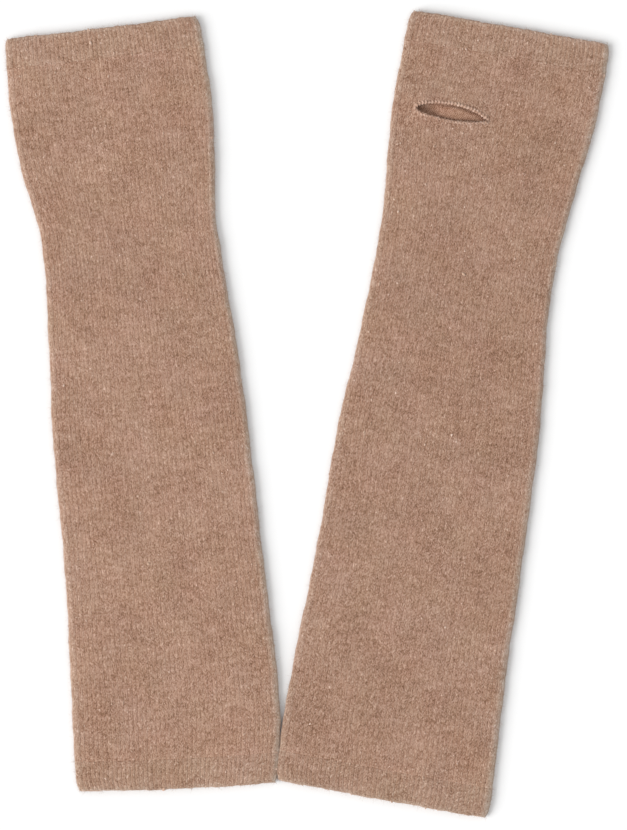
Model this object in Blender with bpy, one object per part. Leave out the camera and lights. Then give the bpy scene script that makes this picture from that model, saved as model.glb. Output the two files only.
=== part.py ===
"""A pair of knitted arm warmers, laid flat side by side on the surface that they rest on.

Each warmer is a knitted tube, open at both ends, pressed flat: wide at the hand, narrow at the
wrist and widest at the arm. Its cut is a table of sections along it. The tube is parted along its
two side folds into a front layer, which faces up, and a back layer, which rests on the surface.
Each layer has a rib band at either end. A leaf-shaped thumb slot lies across one layer below the
hand band, with a cast-off edging. The two warmers are the same piece: the left one is turned over,
so its slot faces down.

Metres, +Z up. The hands' end points to +Y, and the origin is in the middle of the pair, on the
surface. Each mesh is made in its warmer's own frame, with the hand edge at y = 0 and the tube
running towards -Y, and an empty places and turns it.
"""

import math
from collections import namedtuple

import bmesh
import bpy
import numpy as np

MM = 0.001

# The cloth, and how the two layers of a flat tube lie
WALL = 1.6 * MM
LAYER_GAP = 0.5 * MM
SEAM_GAP = 0.3 * MM
FOLD_REACH = 2.6 * MM
BACK_INNER = WALL
FRONT_INNER = WALL + LAYER_GAP
FRONT_FACE = FRONT_INNER + WALL
FOLD_LEVEL = FRONT_FACE / 2

# Rib bands
BAND_DEPTH = 16.0 * MM
RIB_PITCH = 2.1 * MM
RIB_RAISE = 0.35 * MM
BAND_LIP = 0.9 * MM
BAND_LIP_DROP = 0.4 * MM

# Grid steps over a body layer
FOLD_TURNS = (0.0, 30.0, 60.0)
FLAT_COLUMNS = 9
BODY_ROWS = 27
BACK_ROWS = 20
SWELL_FADE = 24.0 * MM

# Thumb slot and its edging
SLOT_LENGTH = 38.0 * MM
SLOT_HANDWARD = 5.0 * MM
SLOT_ARMWARD = 2.9 * MM
SLOT_POINTED = 0.7
SLOT_STEPS = 44
EDGING_WIDTH = 1.8 * MM
EDGING_RAISE = 0.25 * MM
CUTTER_REACH = 6.0 * MM

# Linear colours of the camel wool: jersey, rib bands, cast-off chain
JERSEY_COLOUR = (0.422, 0.256, 0.181, 1.0)
BAND_COLOUR = (0.430, 0.272, 0.196, 1.0)
EDGING_COLOUR = (0.500, 0.330, 0.250, 1.0)
WOOL_ROUGHNESS = 0.95

# A section: millimetres along the tube from the hand edge, then to the left and right fold
Section = namedtuple("Section", "along left right")

# A soft swell of the front layer: its middle, its reach each way and its height, in millimetres
Swell = namedtuple("Swell", "along across length width height")

# Slant is how much further down the tube an edge's right end lies than its left end, and bow is how
# much further down its middle lies than its ends, both in millimetres
Warmer = namedtuple(
    "Warmer",
    "name place lean length hand_slant arm_slant hand_bow arm_bow sections swells"
    " slot_along slot_across slot_layer",
)

LEFT_SECTIONS = (
    Section(0, -49.8, 50.6),
    Section(4, -50.8, 52.3),
    Section(12, -51.3, 53.1),
    Section(30, -51.7, 54.1),
    Section(55, -50.9, 55.5),
    Section(72, -49.0, 54.3),
    Section(90, -45.7, 52.8),
    Section(108, -42.5, 51.5),
    Section(125, -42.0, 52.2),
    Section(150, -43.1, 53.9),
    Section(180, -44.7, 55.9),
    Section(215, -46.9, 57.1),
    Section(250, -47.4, 57.7),
    Section(290, -47.8, 58.1),
    Section(330, -49.6, 58.9),
    Section(360, -51.3, 59.2),
    Section(378, -52.2, 58.3),
    Section(392, -52.9, 56.2),
    Section(408.4, -52.7, 53.2),
)

RIGHT_SECTIONS = (
    Section(0, -51.4, 53.6),
    Section(4, -53.0, 54.5),
    Section(12, -53.8, 54.6),
    Section(30, -54.3, 53.8),
    Section(55, -54.8, 51.6),
    Section(75, -53.4, 48.8),
    Section(100, -51.5, 46.1),
    Section(122, -50.7, 44.2),
    Section(145, -51.5, 44.5),
    Section(170, -52.5, 46.5),
    Section(200, -54.6, 49.1),
    Section(225, -56.5, 50.5),
    Section(260, -56.9, 51.5),
    Section(300, -57.6, 52.6),
    Section(340, -59.4, 53.1),
    Section(374, -60.4, 54.3),
    Section(396, -60.4, 55.0),
    Section(419.3, -58.5, 54.8),
)

LEFT_SWELLS = (
    Swell(84, 24, 34, 20, 0.7),
    Swell(150, -14, 26, 24, 0.4),
    Swell(214, 30, 40, 16, 0.5),
    Swell(330, 26, 46, 22, 0.5),
)

RIGHT_SWELLS = (
    Swell(46, -26, 9, 26, 0.8),
    Swell(96, 22, 36, 16, 0.6),
    Swell(150, -22, 34, 20, 0.5),
    Swell(262, 4, 44, 26, 0.4),
)

WARMERS = (
    Warmer(
        name="left",
        place=(-111.3 * MM, 205.4 * MM),
        lean=math.radians(5.84),
        length=408.4 * MM,
        hand_slant=-1.9,
        arm_slant=6.2,
        hand_bow=0.0,
        arm_bow=1.0,
        sections=LEFT_SECTIONS,
        swells=LEFT_SWELLS,
        slot_along=50.7 * MM,
        slot_across=22.8 * MM,
        slot_layer="back",
    ),
    Warmer(
        name="right",
        place=(108.0 * MM, 206.4 * MM),
        lean=math.radians(-9.12),
        length=419.3 * MM,
        hand_slant=2.4,
        arm_slant=0.7,
        hand_bow=0.7,
        arm_bow=0.3,
        sections=RIGHT_SECTIONS,
        swells=RIGHT_SWELLS,
        slot_along=51.6 * MM,
        slot_across=-22.8 * MM,
        slot_layer="front",
    ),
)


def clear_scene():
    for thing in list(bpy.data.objects):
        bpy.data.objects.remove(thing, do_unlink=True)


def new_collection(name):
    collection = bpy.data.collections.new(name)
    bpy.context.scene.collection.children.link(collection)
    return collection


def wool(name, colour):
    """A matt wool material of one colour."""
    material = bpy.data.materials.new(name)
    material.use_nodes = True
    shader = material.node_tree.nodes["Principled BSDF"]
    shader.inputs["Base Color"].default_value = colour
    shader.inputs["Roughness"].default_value = WOOL_ROUGHNESS
    shader.inputs["Metallic"].default_value = 0.0
    material.diffuse_color = colour
    return material


def add_object(name, mesh, place, collection, material):
    thing = bpy.data.objects.new(name, mesh)
    thing.data.materials.append(material)
    thing.parent = place
    collection.objects.link(thing)
    return thing


def warmer_place(warmer, collection):
    """The empty at the middle of a warmer's hand edge, turned to the way that the warmer lies."""
    place = bpy.data.objects.new(warmer.name + "_warmer_place", None)
    place.location = (*warmer.place, 0.0)
    place.rotation_euler = (0.0, 0.0, warmer.lean)
    collection.objects.link(place)
    return place


def smooth_curve(at, stations, values):
    """Cubic Hermite curve through the values, its slopes taken from the neighbouring stations."""
    slopes = np.gradient(values, stations)
    step = np.clip(np.searchsorted(stations, at, side="right") - 1, 0, len(stations) - 2)
    span = stations[step + 1] - stations[step]
    t = (at - stations[step]) / span
    start = values[step] * (1 + 2 * t) * (1 - t) ** 2 + slopes[step] * span * t * (1 - t) ** 2
    end = values[step + 1] * t**2 * (3 - 2 * t) + slopes[step + 1] * span * t**2 * (t - 1)
    return start + end


def fold_lines(warmer, along):
    """How far the left and the right fold lie from the tube's axis, at places along it."""
    stations = np.array([section.along for section in warmer.sections]) * MM
    left = np.array([section.left for section in warmer.sections]) * MM
    right = np.array([section.right for section in warmer.sections]) * MM
    return smooth_curve(along, stations, left), smooth_curve(along, stations, right)


def edge_drift(warmer, along, place):
    """How far down the tube a course of knitting drifts from its middle, place running from -1 to 1."""
    share = along / warmer.length
    slant = warmer.hand_slant + (warmer.arm_slant - warmer.hand_slant) * share
    bow = warmer.hand_bow + (warmer.arm_bow - warmer.hand_bow) * share
    return (slant * place / 2 - bow * place**2) * MM


def swell_height(warmer, along, across):
    """Height of the front layer's soft swells, which die out towards the rib bands."""
    height = np.zeros(np.broadcast(along, across).shape)
    for swell in warmer.swells:
        down = (along / MM - swell.along) / swell.length
        sideways = (across / MM - swell.across) / swell.width
        height = height + swell.height * MM * np.exp(-(down**2) - sideways**2)
    hand_fade = np.clip((along - BAND_DEPTH) / SWELL_FADE, 0, 1)
    arm_fade = np.clip((warmer.length - BAND_DEPTH - along) / SWELL_FADE, 0, 1)
    return height * hand_fade * arm_fade


def layer_heights(layer):
    """Heights of a layer's fold rim, inner face and outer face."""
    if layer == "front":
        return FOLD_LEVEL + SEAM_GAP / 2, FRONT_INNER, FRONT_FACE
    return FOLD_LEVEL - SEAM_GAP / 2, BACK_INNER, 0.0


def body_columns():
    """Columns across a body layer: place on the flat from -1 to 1, and turn round the fold."""
    turns = np.radians(FOLD_TURNS)
    flat = np.linspace(-1, 1, FLAT_COLUMNS)
    place = np.concatenate([-np.ones(len(turns)), flat, np.ones(len(turns))])
    turn = np.concatenate([turns, np.full(FLAT_COLUMNS, math.pi / 2), turns[::-1]])
    return place, turn


def band_columns(width, layer):
    """Columns across a rib band, two to a rib and evenly spaced round its folds.

    The rib band's inner face is plain, and so is the back layer, which rests flat.
    """
    if layer == "back":
        return (*body_columns(), 0.0)
    arc = math.pi / 2 * (FOLD_REACH + FRONT_FACE / 2) / 2
    flat = width - 2 * FOLD_REACH
    total = flat + 2 * arc
    ribs = round(total / RIB_PITCH)
    reach = np.linspace(0, total, 2 * ribs + 1)
    place = np.clip(-1 + 2 * (reach - arc) / flat, -1, 1)
    turn = np.clip(np.minimum(reach, total - reach) / arc, 0, 1) * math.pi / 2
    raised = RIB_RAISE * (np.arange(len(reach)) % 2)
    return place, turn, raised


def layer_grids(warmer, layer, along, place, turn, raised, drop):
    """The outer and the inner points of a layer, a row for each place along the tube.

    place and turn say where a column lies, raised lifts its outer points off the face and drop
    lowers a whole row's outer points, as at a band's edge.
    """
    rim, inner, face = layer_heights(layer)
    left, right = fold_lines(warmer, along)
    middle = ((left + right) / 2)[:, None]
    half = ((right - left) / 2)[:, None]
    outward = 1 if layer == "front" else -1

    outer_across = middle + place * (half - FOLD_REACH + (FOLD_REACH + raised) * np.cos(turn))
    inner_across = middle + place * (half - FOLD_REACH + (FOLD_REACH - WALL) * np.cos(turn))
    swell = 0.0
    if layer == "front":
        flatness = (1 - place**4) * np.sin(turn)
        swell = swell_height(warmer, along[:, None], outer_across) * flatness
    face_rise = (face - rim + outward * raised) * np.sin(turn)
    outer_height = rim + face_rise - outward * drop[:, None] * np.sin(turn) + swell
    inner_height = rim + (inner - rim) * np.sin(turn) + swell

    grids = []
    for across, height in ((outer_across, outer_height), (inner_across, inner_height)):
        down = along[:, None] + edge_drift(warmer, along[:, None], (across - middle) / half)
        grids.append(np.stack(np.broadcast_arrays(across, -down, height), axis=-1))
    return grids


def wall_mesh(name, outer, inner):
    """The closed wall between an outer and an inner grid of points."""
    rows, columns = outer.shape[:2]
    shape = bmesh.new()
    sheets = []
    for grid in (outer, inner):
        sheets.append([[shape.verts.new(point) for point in row] for row in grid])
    for sheet in sheets:
        for row in range(rows - 1):
            for column in range(columns - 1):
                near = sheet[row][column : column + 2]
                far = sheet[row + 1][column : column + 2]
                shape.faces.new((*near, *reversed(far)))
    around = [(0, column) for column in range(columns)]
    around += [(row, columns - 1) for row in range(1, rows)]
    around += [(rows - 1, column) for column in range(columns - 2, -1, -1)]
    around += [(row, 0) for row in range(rows - 2, 0, -1)]
    for here, there in zip(around, around[1:] + around[:1]):
        corners = [sheets[0][here[0]][here[1]], sheets[0][there[0]][there[1]]]
        corners += [sheets[1][there[0]][there[1]], sheets[1][here[0]][here[1]]]
        shape.faces.new(corners)
    bmesh.ops.recalc_face_normals(shape, faces=shape.faces)
    mesh = bpy.data.meshes.new(name)
    shape.to_mesh(mesh)
    shape.free()
    mesh.shade_smooth()
    mesh.set_sharp_from_angle(angle=math.radians(50))
    return mesh


def body_mesh(warmer, layer):
    """One layer of the jersey tube between the two rib bands."""
    rows = BODY_ROWS if layer == "front" else BACK_ROWS
    start = BAND_DEPTH + SEAM_GAP / 2
    along = np.linspace(start, warmer.length - start, rows)
    place, turn = body_columns()
    grids = layer_grids(warmer, layer, along, place, turn, 0.0, np.zeros(rows))
    return wall_mesh(f"{warmer.name}_body_{layer}", *grids)


def band_mesh(warmer, end, layer):
    """One layer of a rib band, with its free edge a little thinner than the rest."""
    depth = BAND_DEPTH - SEAM_GAP / 2
    along = np.array([0.0, BAND_LIP, depth])
    drop = np.array([BAND_LIP_DROP, 0.0, 0.0])
    if layer == "back":
        drop = np.zeros(len(along))
    if end == "arm":
        along = (warmer.length - along)[::-1]
        drop = drop[::-1]
    left, right = fold_lines(warmer, along)
    place, turn, raised = band_columns(float((right - left).mean()), layer)
    grids = layer_grids(warmer, layer, along, place, turn, raised, drop)
    return wall_mesh(f"{warmer.name}_{end}_rib_{layer}", *grids)


def slot_outline(warmer, offset):
    """Points round the leaf-shaped slot, moved outwards by the offset."""
    angle = np.linspace(0, 2 * math.pi, SLOT_STEPS, endpoint=False)
    bulge = np.sign(np.sin(angle)) * np.abs(np.sin(angle)) ** (1 + SLOT_POINTED)
    depth = np.where(np.sin(angle) > 0, SLOT_HANDWARD, SLOT_ARMWARD)
    leaf = np.stack([SLOT_LENGTH / 2 * np.cos(angle), depth * bulge], axis=-1)
    tangent = np.roll(leaf, -1, axis=0) - np.roll(leaf, 1, axis=0)
    outwards = np.stack([tangent[:, 1], -tangent[:, 0]], axis=-1)
    outwards /= np.linalg.norm(outwards, axis=1, keepdims=True)
    return leaf + offset * outwards + (warmer.slot_across, -warmer.slot_along)


def edging_section(layer):
    """The chain's rounded section: offset from the slot, and height above the layer's low side."""
    low = FRONT_INNER if layer == "front" else 0.0
    top = low + WALL + (EDGING_RAISE if layer == "front" else 0.0)
    bevel = WALL / 4
    return (
        (0.0, low + bevel),
        (0.0, top - bevel),
        (EDGING_WIDTH / 2, top),
        (EDGING_WIDTH, top - bevel),
        (EDGING_WIDTH, low),
        (bevel, low),
    )


def edging_mesh(warmer):
    """The cast-off chain that runs round the thumb slot."""
    shape = bmesh.new()
    rings = []
    for offset, height in edging_section(warmer.slot_layer):
        across, down = slot_outline(warmer, offset).T
        lift = np.zeros(SLOT_STEPS)
        if warmer.slot_layer == "front":
            lift = swell_height(warmer, -down, across)
        rings.append([shape.verts.new(point) for point in zip(across, down, height + lift)])
    for ring, after in zip(rings, rings[1:] + rings[:1]):
        for step in range(SLOT_STEPS):
            ahead = (step + 1) % SLOT_STEPS
            shape.faces.new((ring[step], ring[ahead], after[ahead], after[step]))
    bmesh.ops.recalc_face_normals(shape, faces=shape.faces)
    mesh = bpy.data.meshes.new(warmer.name + "_thumb_slot_edging")
    shape.to_mesh(mesh)
    shape.free()
    mesh.shade_smooth()
    return mesh


def slot_cutter(warmer, place, collection):
    """A prism that cuts one layer for the slot and its edging, and leaves the other layer whole."""
    starts = FOLD_LEVEL if warmer.slot_layer == "front" else FOLD_LEVEL - CUTTER_REACH
    outline = slot_outline(warmer, EDGING_WIDTH + SEAM_GAP)
    shape = bmesh.new()
    base = shape.faces.new([shape.verts.new((*point, starts)) for point in outline])
    raised = bmesh.ops.extrude_face_region(shape, geom=[base])["geom"]
    corners = [item for item in raised if isinstance(item, bmesh.types.BMVert)]
    bmesh.ops.translate(shape, verts=corners, vec=(0, 0, CUTTER_REACH))
    bmesh.ops.recalc_face_normals(shape, faces=shape.faces)
    mesh = bpy.data.meshes.new(warmer.name + "_slot_cutter")
    shape.to_mesh(mesh)
    shape.free()
    cutter = bpy.data.objects.new(mesh.name, mesh)
    cutter.parent = place
    cutter.hide_render = True
    cutter.display_type = "WIRE"
    collection.objects.link(cutter)
    return cutter


def cut_slot(layer_object, cutter):
    cut = layer_object.modifiers.new("thumb_slot", "BOOLEAN")
    cut.operation = "DIFFERENCE"
    cut.solver = "EXACT"
    cut.object = cutter


def build_warmer(warmer, parts, cutters):
    """The seven pieces of one warmer."""
    place = warmer_place(warmer, parts)
    bodies = {}
    for layer in ("front", "back"):
        mesh = body_mesh(warmer, layer)
        bodies[layer] = add_object(mesh.name, mesh, place, parts, wool(mesh.name, JERSEY_COLOUR))
        for end in ("hand", "arm"):
            mesh = band_mesh(warmer, end, layer)
            add_object(mesh.name, mesh, place, parts, wool(mesh.name, BAND_COLOUR))
    mesh = edging_mesh(warmer)
    add_object(mesh.name, mesh, place, parts, wool(mesh.name, EDGING_COLOUR))
    cut_slot(bodies[warmer.slot_layer], slot_cutter(warmer, place, cutters))


def main():
    clear_scene()
    parts = new_collection("arm_warmers")
    cutters = new_collection("cutters")
    for warmer in WARMERS:
        build_warmer(warmer, parts, cutters)


main()
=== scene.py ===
"""Looks of the pair of knitted arm warmers: knitted faces, rib bands, thumb slots, neps and fuzz.

Every knitted piece is a closed wall worked out on a grid of stitches, one grid line for each
side of a stitch. Metres, +Z up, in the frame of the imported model.
"""

import math
from collections import namedtuple

import bpy
import numpy as np
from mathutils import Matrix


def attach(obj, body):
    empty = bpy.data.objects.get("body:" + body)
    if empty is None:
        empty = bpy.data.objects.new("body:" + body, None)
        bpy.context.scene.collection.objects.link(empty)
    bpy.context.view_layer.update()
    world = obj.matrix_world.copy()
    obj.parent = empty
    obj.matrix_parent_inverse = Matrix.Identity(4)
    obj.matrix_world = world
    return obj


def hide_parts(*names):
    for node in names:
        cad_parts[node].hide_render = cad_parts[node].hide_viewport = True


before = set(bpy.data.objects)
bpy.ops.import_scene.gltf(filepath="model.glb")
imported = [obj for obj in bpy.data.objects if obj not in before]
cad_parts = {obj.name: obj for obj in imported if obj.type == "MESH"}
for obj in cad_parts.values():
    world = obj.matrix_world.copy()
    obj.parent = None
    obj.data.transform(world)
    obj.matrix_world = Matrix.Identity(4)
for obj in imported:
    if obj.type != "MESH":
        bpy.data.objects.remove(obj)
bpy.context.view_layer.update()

bl_info = {
    "name": "Knitted Arm Warmers",
    "version": (1, 0, 0),
    "blender": (4, 5, 0),
    "location": "3D View > Sidebar > Arm Warmers",
    "description": "Makes a laid-flat pair of knitted arm warmers, stitch by stitch",
    "category": "Add Mesh",
}

MM = 0.001

# The cloth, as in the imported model
WALL = 1.6 * MM
LAYER_GAP = 0.5 * MM
FOLD_REACH = 2.6 * MM
FRONT_INNER = WALL + LAYER_GAP
FRONT_FACE = FRONT_INNER + WALL
FOLD_LEVEL = FRONT_FACE / 2
FOLD_ARC = math.pi / 2 * (FOLD_REACH + FOLD_LEVEL) / 2
BAND_DEPTH = 16.0 * MM
SWELL_FADE = 24.0 * MM
SLOT_LENGTH = 38.0 * MM
SLOT_HANDWARD = 5.0 * MM
SLOT_ARMWARD = 2.9 * MM
SLOT_POINTED = 0.7
EDGING_WIDTH = 1.8 * MM

# The upper layer sinks a little beside its folds
SHOULDER_DROP = 0.30 * MM
SHOULDER_REACH = 4.5 * MM

# The thumb slot in stitches
SLOT_STITCHES = 17
SLOT_SIDE_STITCHES = 6
SLOT_COURSE = 24
SLOT_RIM = 0.75 * MM
PULL_REACH = 34.0 * MM
SETTLE_REACH = 24.0 * MM

# The chain round the slot: its spread past its width, its rise above the upper layer, and how
# much higher it lies on the arm side there
EDGING_SPREAD = 0.2 * MM
EDGING_RISE = 0.70 * MM
EDGING_TILT = 0.3 * MM

# The other layer's purl side shows through the slot, and bulges into it
PURL_BULGE = 1.15 * MM
PURL_RELIEF = 0.16 * MM
PURL_COURSES = 7

# A soft swell of the front layer: its middle, its reach each way and its height, in millimetres
Swell = namedtuple("Swell", "along across length width height")

# Slant and bow say how the tube's end edges run, in millimetres
# shade scales a warmer's yarn. It is painted light: the left warmer is a little lighter and the right
# a little darker, as the key light falls across the pair.
Warmer = namedtuple(
    "Warmer",
    "name place lean length hand_slant arm_slant hand_bow arm_bow sections swells"
    " slot_along slot_across slot_layer seed shade",
)

# The folds: millimetres along the tube from the hand edge, then to the left and right fold
LEFT_SECTIONS = (
    (0, -49.7, 51.5),
    (1.5, -50.6, 52.7),
    (4, -51.0, 53.7),
    (12, -51.3, 54.6),
    (30, -51.7, 55.5),
    (55, -50.9, 56.0),
    (72, -49.0, 54.8),
    (90, -45.7, 53.2),
    (108, -42.5, 51.9),
    (125, -42.0, 52.6),
    (150, -43.1, 54.3),
    (180, -44.7, 56.3),
    (215, -46.9, 57.5),
    (250, -47.4, 58.1),
    (290, -47.8, 58.5),
    (330, -49.6, 59.4),
    (360, -51.3, 59.7),
    (378, -52.2, 58.7),
    (392, -52.9, 56.5),
    (406.8, -52.7, 53.7),
    (409.1, -51.9, 52.8),
)

RIGHT_SECTIONS = (
    (0, -51.2, 53.2),
    (1.5, -52.4, 54.3),
    (4, -53.2, 54.9),
    (12, -53.9, 55.2),
    (30, -54.3, 54.8),
    (55, -54.8, 52.8),
    (75, -53.4, 50.0),
    (100, -51.5, 47.0),
    (122, -50.7, 45.2),
    (145, -51.5, 45.3),
    (170, -52.5, 47.1),
    (200, -54.6, 49.9),
    (225, -56.5, 51.3),
    (260, -56.9, 52.1),
    (300, -57.6, 53.0),
    (340, -59.4, 53.5),
    (374, -60.4, 54.9),
    (396, -60.4, 55.6),
    (417.0, -58.7, 55.4),
    (419.3, -57.8, 54.5),
)

LEFT_SWELLS = (
    Swell(84, 24, 34, 20, 0.7),
    Swell(150, -14, 26, 24, 0.4),
    Swell(214, 30, 40, 16, 0.5),
    Swell(330, 26, 46, 22, 0.5),
)

RIGHT_SWELLS = (
    Swell(46, -26, 9, 26, 0.8),
    Swell(50, -41, 9, 9, 1.4),
    Swell(96, 22, 36, 16, 0.6),
    Swell(150, -22, 34, 20, 0.5),
    Swell(262, 4, 44, 26, 0.4),
)

WARMERS = (
    Warmer(
        name="left",
        place=(-111.3 * MM, 205.4 * MM),
        lean=math.radians(5.84),
        length=409.1 * MM,
        hand_slant=-1.9,
        arm_slant=6.2,
        hand_bow=0.5,
        arm_bow=1.0,
        sections=LEFT_SECTIONS,
        swells=LEFT_SWELLS,
        slot_along=50.7 * MM,
        slot_across=22.8 * MM,
        slot_layer="back",
        seed=11,
        # Painted light: this warmer's yarn is made a little lighter.
        shade=1.02,
    ),
    Warmer(
        name="right",
        place=(108.0 * MM, 206.4 * MM),
        lean=math.radians(-9.12),
        length=419.3 * MM,
        hand_slant=1.6,
        arm_slant=2.5,
        hand_bow=-0.2,
        arm_bow=0.3,
        sections=RIGHT_SECTIONS,
        swells=RIGHT_SWELLS,
        slot_along=51.6 * MM,
        slot_across=-22.8 * MM,
        slot_layer="front",
        seed=29,
        # Painted shade: this warmer's yarn is made a little darker.
        shade=0.965,
    ),
)

# The key light comes from the photo's left and a little from below, low and broad
KEY_BEARING = math.radians(-71.0)
KEY_HEIGHT = math.radians(28.5)
KEY_WIDTH = math.radians(46.0)

# How far from a wall's corner its last grid line lies, in stitches
RIM_LINE = 0.03

# Small waves of the fold lines: wave length and height
FOLD_WAVES = ((43 * MM, 0.14 * MM), (21 * MM, 0.12 * MM), (9.5 * MM, 0.08 * MM))

# Waves of the free ends: turns across half a layer and height of each, and how far up they reach
HEM_WAVES = ((1.3, 0.14 * MM), (3.1, 0.11 * MM), (7.3, 0.09 * MM), (11.7, 0.09 * MM))
HEM_REACH = 9.0 * MM

# The seam between rib and jersey, and a band's rounded free edge, in courses, with its drop
SEAM_REACH = 0.9
LIP_COURSES = (0.0, 0.12, 0.28)
LIP_DROP = 0.45 * MM

# The undersides are pressed flat, so only a share of the relief is left on them
UNDERSIDE_SHARE = 0.6

# How far a stitch strays, and the usual radius of a nep
STITCH_JITTER = 0.05 * MM
NEP_RADIUS = 0.27 * MM

# The photograph's frame, at the height of the cloth, and the floor
FRAME_MIDDLE = (3.45 * MM, -1.47 * MM)
FRAME_HEIGHT = 0.44405
FLOOR_REACH = 3.0

# Noise in four dimensions. It runs over the stitches, stretched, or over the model where that is None
Noise = namedtuple("Noise", "stretch scale detail roughness seed")
FLOOR_GRAIN = Noise(None, 60.0, 2.0, 0.5, 3.0)
HEATHER_NOISES = {
    "clouds": Noise(None, 42.0, 2.0, 0.55, 1.3),
    "streaks": Noise((0.17, 0.62, 1.0), 1.0, 3.0, 0.6, 4.0),
    "lumps": Noise(None, 330.0, 1.0, 0.5, 5.0),
    "flecks": Noise((4.3, 1.7, 1.0), 1.0, 1.0, 0.5, 7.0),
    "pips": Noise((4.3, 1.7, 1.0), 0.72, 0.0, 0.5, 13.0),
    "fibres": Noise((16.0, 3.5, 1.0), 1.0, 2.0, 0.6, 2.0),
    "redness": Noise(None, 60.0, 4.0, 0.6, 11.0),
    "blueness": Noise(None, 50.0, 4.0, 0.6, 17.0),
}

# The heather group's numbers, with what they are by default
HEATHER_NUMBERS = {
    "Clouds": 1.0,
    "Flecks": 1.0,
    "Furrows": 1.0,
    "Purl": 0.0,
    "Wales": 47.0,
    "Courses": 252.0,
    "Band courses": 11.0,
    "Nap": 0.0,
}
# Painted light: how much paler and greyer the fold and end tint makes the yarn. It is partly the
# wool's grey fuzz and partly bounce light from the floor.
NAP_AND_BOUNCE_TINT = (1.16, 1.46, 1.66)

# How each kind of piece takes the wool. Light makes the yarn paler or darker: it is painted light, and
# it makes the arm bands a little darker where the light falls off. The fold and end tint is partly the
# wool's fuzz and partly painted bounce light. The furrow shade amount is painted shade in the furrow
# lines.
Finish = namedtuple("Finish", "label colour light clouds flecks furrows bump sheen nap purl")
FINISHES = {
    "jersey": Finish("Camel jersey", "yarn", 1.0, 1.15, 1.0, 0.7, 0.8, 0.30, 0.75, 0.0),
    "hand band": Finish("Camel hand rib", "band_yarn", 1.0, 1.2, 0.95, 0.35, 0.7, 0.30, 0.75, 0.0),
    # Painted shade: the arm bands' yarn is made a little darker, as the light falls off towards the
    # arm ends.
    "arm band": Finish("Camel arm rib", "band_yarn", 0.99, 1.2, 0.95, 0.35, 0.7, 0.30, 0.75, 0.0),
    # The purl side's yarn is paler: painted light in the slot's shaded hollow.
    "inside": Finish("Camel purl side", "inner_yarn", 1.0, 0.8, 0.7, 0.2, 0.8, 0.0, 0.0, 1.0),
    "edging": Finish("Cast-off chain", "edging_yarn", 1.0, 0.4, 0.7, 1.2, 0.8, 0.15, 0.0, 0.0),
    "nep": Finish("Undyed nep", "nep", 1.0, 0.3, 0.5, 0.0, 0.6, 0.15, 0.0, 0.0),
    "hair": Finish("Loose hair", "hair", 1.0, 0.3, 0.3, 0.0, 0.3, 0.25, 0.0, 0.0),
}

# What the settings for colours and for small lengths share
COLOUR = {"size": 3, "min": 0.0, "max": 1.0}
LENGTH = {"min": 0.0, "max": 6.0 * MM, "precision": 6}


class KnitSizes(bpy.types.PropertyGroup):
    """How the cloth is knitted."""

    wales: bpy.props.IntProperty(
        name="Wales", description="Stitches across one layer", default=47, min=20, max=80
    )
    courses: bpy.props.IntProperty(
        name="Courses",
        description="Rows of stitches between the two rib bands",
        default=252,
        min=60,
        max=400,
    )
    band_courses: bpy.props.IntProperty(
        name="Band courses", description="Rows of stitches in a rib band", default=11, min=4, max=30
    )
    stitch_relief: bpy.props.FloatProperty(
        name="Stitch relief",
        description="How far a stitch's leg stands above the furrow beside it",
        default=0.22 * MM,
        unit="LENGTH",
        **LENGTH,
    )
    leg_rise: bpy.props.FloatProperty(
        name="Leg rise",
        description="How many courses a stitch's leg climbs from its foot to its head",
        default=0.85,
        min=0.0,
        max=1.5,
    )
    rib_height: bpy.props.FloatProperty(
        name="Rib height",
        description="How far a rib stands above the furrow beside it",
        default=0.12 * MM,
        unit="LENGTH",
        **LENGTH,
    )
    unevenness: bpy.props.FloatProperty(
        name="Unevenness",
        description="How much one stitch differs from the next",
        default=0.45,
        min=0.0,
        max=1.0,
        subtype="FACTOR",
    )


class WoolColours(bpy.types.PropertyGroup):
    """Colours of the heathered wool."""

    yarn: bpy.props.FloatVectorProperty(
        name="Yarn",
        description="The camel wool's own colour",
        default=(0.3748, 0.2229, 0.1539),
        subtype="COLOR",
        **COLOUR,
    )
    band_yarn: bpy.props.FloatVectorProperty(
        name="Band yarn",
        description="The wool's colour in the rib bands, a little paler and greyer",
        default=(0.3555, 0.2175, 0.1505),
        subtype="COLOR",
        **COLOUR,
    )
    # Paler and redder than the yarn outside: painted light and bounce light in the shaded hollow seen
    # through the thumb slot.
    inner_yarn: bpy.props.FloatVectorProperty(
        name="Inner yarn",
        description="The wool's colour on the purl side, where no nap lies over it",
        default=(0.415, 0.236, 0.158),
        subtype="COLOR",
        **COLOUR,
    )
    edging_yarn: bpy.props.FloatVectorProperty(
        name="Edging yarn",
        description="The wool's colour in the cast-off chain",
        default=(0.455, 0.292, 0.216),
        subtype="COLOR",
        **COLOUR,
    )
    nep: bpy.props.FloatVectorProperty(
        name="Neps",
        description="The small knots of undyed wool",
        default=(0.54, 0.375, 0.285),
        subtype="COLOR",
        **COLOUR,
    )
    hair: bpy.props.FloatVectorProperty(
        name="Hairs",
        description="The loose hairs, between the yarn and the undyed wool",
        default=(0.44914, 0.291345, 0.212895),
        subtype="COLOR",
        **COLOUR,
    )


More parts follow.
